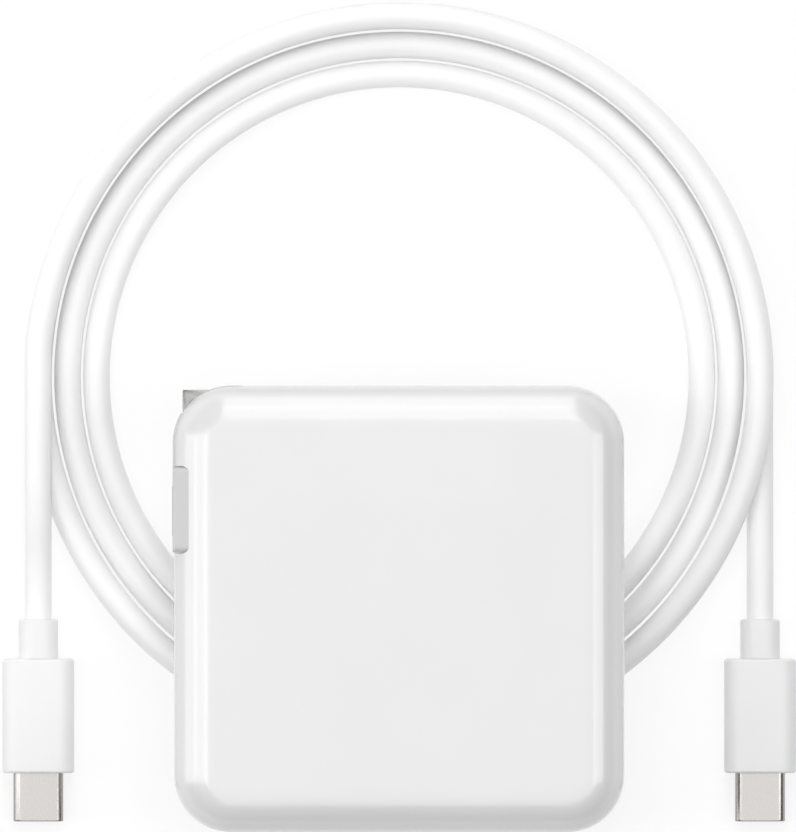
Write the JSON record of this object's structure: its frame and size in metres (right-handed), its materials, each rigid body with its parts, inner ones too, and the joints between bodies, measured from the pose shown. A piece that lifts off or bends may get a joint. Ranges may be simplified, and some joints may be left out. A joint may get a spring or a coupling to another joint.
{
  "type": "laptop power adapter",
  "caption": "White square laptop power adapter with folding mains prongs, a USB-C port and a coiled USB-C cable under it.",
  "frame": {"origin": "centre of the adapter's body, cable left out", "axes": "+Z out of the broad upper face, -X out of the side that the prongs fold into, +X out of the side with the USB-C port, -Y the way both plugs of the cable point"},
  "size_m": [0.1312, 0.1367, 0.0374],
  "materials": {
    "white_plastic": "gloss moulded polycarbonate",
    "grey_plastic": "fine satin moulded plastic",
    "nickel_plated": "dull nickel plate",
    "stainless": "drawn stainless steel",
    "steel": "plain steel",
    "gilt_brass": "gilt",
    "board_green": "solder mask",
    "dark_plastic": "moulded package",
    "ferrite": "sintered ferrite",
    "copper": "enamelled copper wire",
    "capacitor_sleeve": "shrunk sleeve",
    "yellow_box": "moulded capacitor box",
    "blue_coat": "dipped epoxy",
    "aluminium_sheet": "mill finish sheet",
    "film": "insulating film",
    "thermal_rubber": "silicone pad",
    "cable_jacket": "smooth satin jacket",
    "soft_white": "satin overmould",
    "wire_insulation": "wire insulation"
  },
  "bodies": {
    "adapter": {"housing_top": "white_plastic", "housing_bottom": "white_plastic", "prong_bay_frame": "grey_plastic", "line_contact": "gilt_brass", "neutral_contact": "gilt_brass", "detent_spring": "steel", "input_wires": "wire_insulation", "main_board": "board_green", "fuse": "dark_plastic", "inrush_thermistor": "dark_plastic", "choke_core": "ferrite", "choke_windings": "copper", "x_capacitor": "yellow_box", "y_capacitor": "blue_coat", "bridge_rectifier": "dark_plastic", "bulk_capacitors": "capacitor_sleeve", "primary_heatsink": "aluminium_sheet", "switch_transistor": "dark_plastic", "transformer_core": "ferrite", "transformer_bobbin": "dark_plastic", "transformer_winding": "copper", "transformer_pins": "gilt_brass", "output_capacitors": "capacitor_sleeve", "output_choke_core": "ferrite", "output_choke_winding": "copper", "optocoupler": "dark_plastic", "rectifier_transistors": "dark_plastic", "switching_controller": "dark_plastic", "delivery_controller": "dark_plastic", "thermal_pad": "thermal_rubber", "top_heat_spreader": "aluminium_sheet", "top_insulator": "film", "bottom_heat_spreader": "aluminium_sheet", "bottom_insulator": "film", "output_board": "board_green", "board_link_pins": "gilt_brass", "port_shell": "stainless", "port_tongue": "dark_plastic", "port_contacts": "gilt_brass", "cable_coil": "cable_jacket", "cable_tail_left": "cable_jacket", "cable_tail_right": "cable_jacket", "left_plug_strain_relief": "soft_white", "left_plug_overmold": "soft_white", "left_plug_shell": "stainless", "left_plug_insulator": "dark_plastic", "left_plug_contacts": "gilt_brass", "right_plug_strain_relief": "soft_white", "right_plug_overmold": "soft_white", "right_plug_shell": "stainless", "right_plug_insulator": "dark_plastic", "right_plug_contacts": "gilt_brass"},
    "prongs": {"prong_hub": "grey_plastic", "hub_pivot_pins": "steel", "blade_line": "nickel_plated", "blade_neutral": "nickel_plated"}
  },
  "joints": [
    {"name": "prong_fold", "type": "hinge", "parent": "adapter", "child": "prongs", "pos_m": [-0.0335, 0.0165, 0], "axis": [0, 0, 1], "range_deg": [0, 90]}
  ]
}
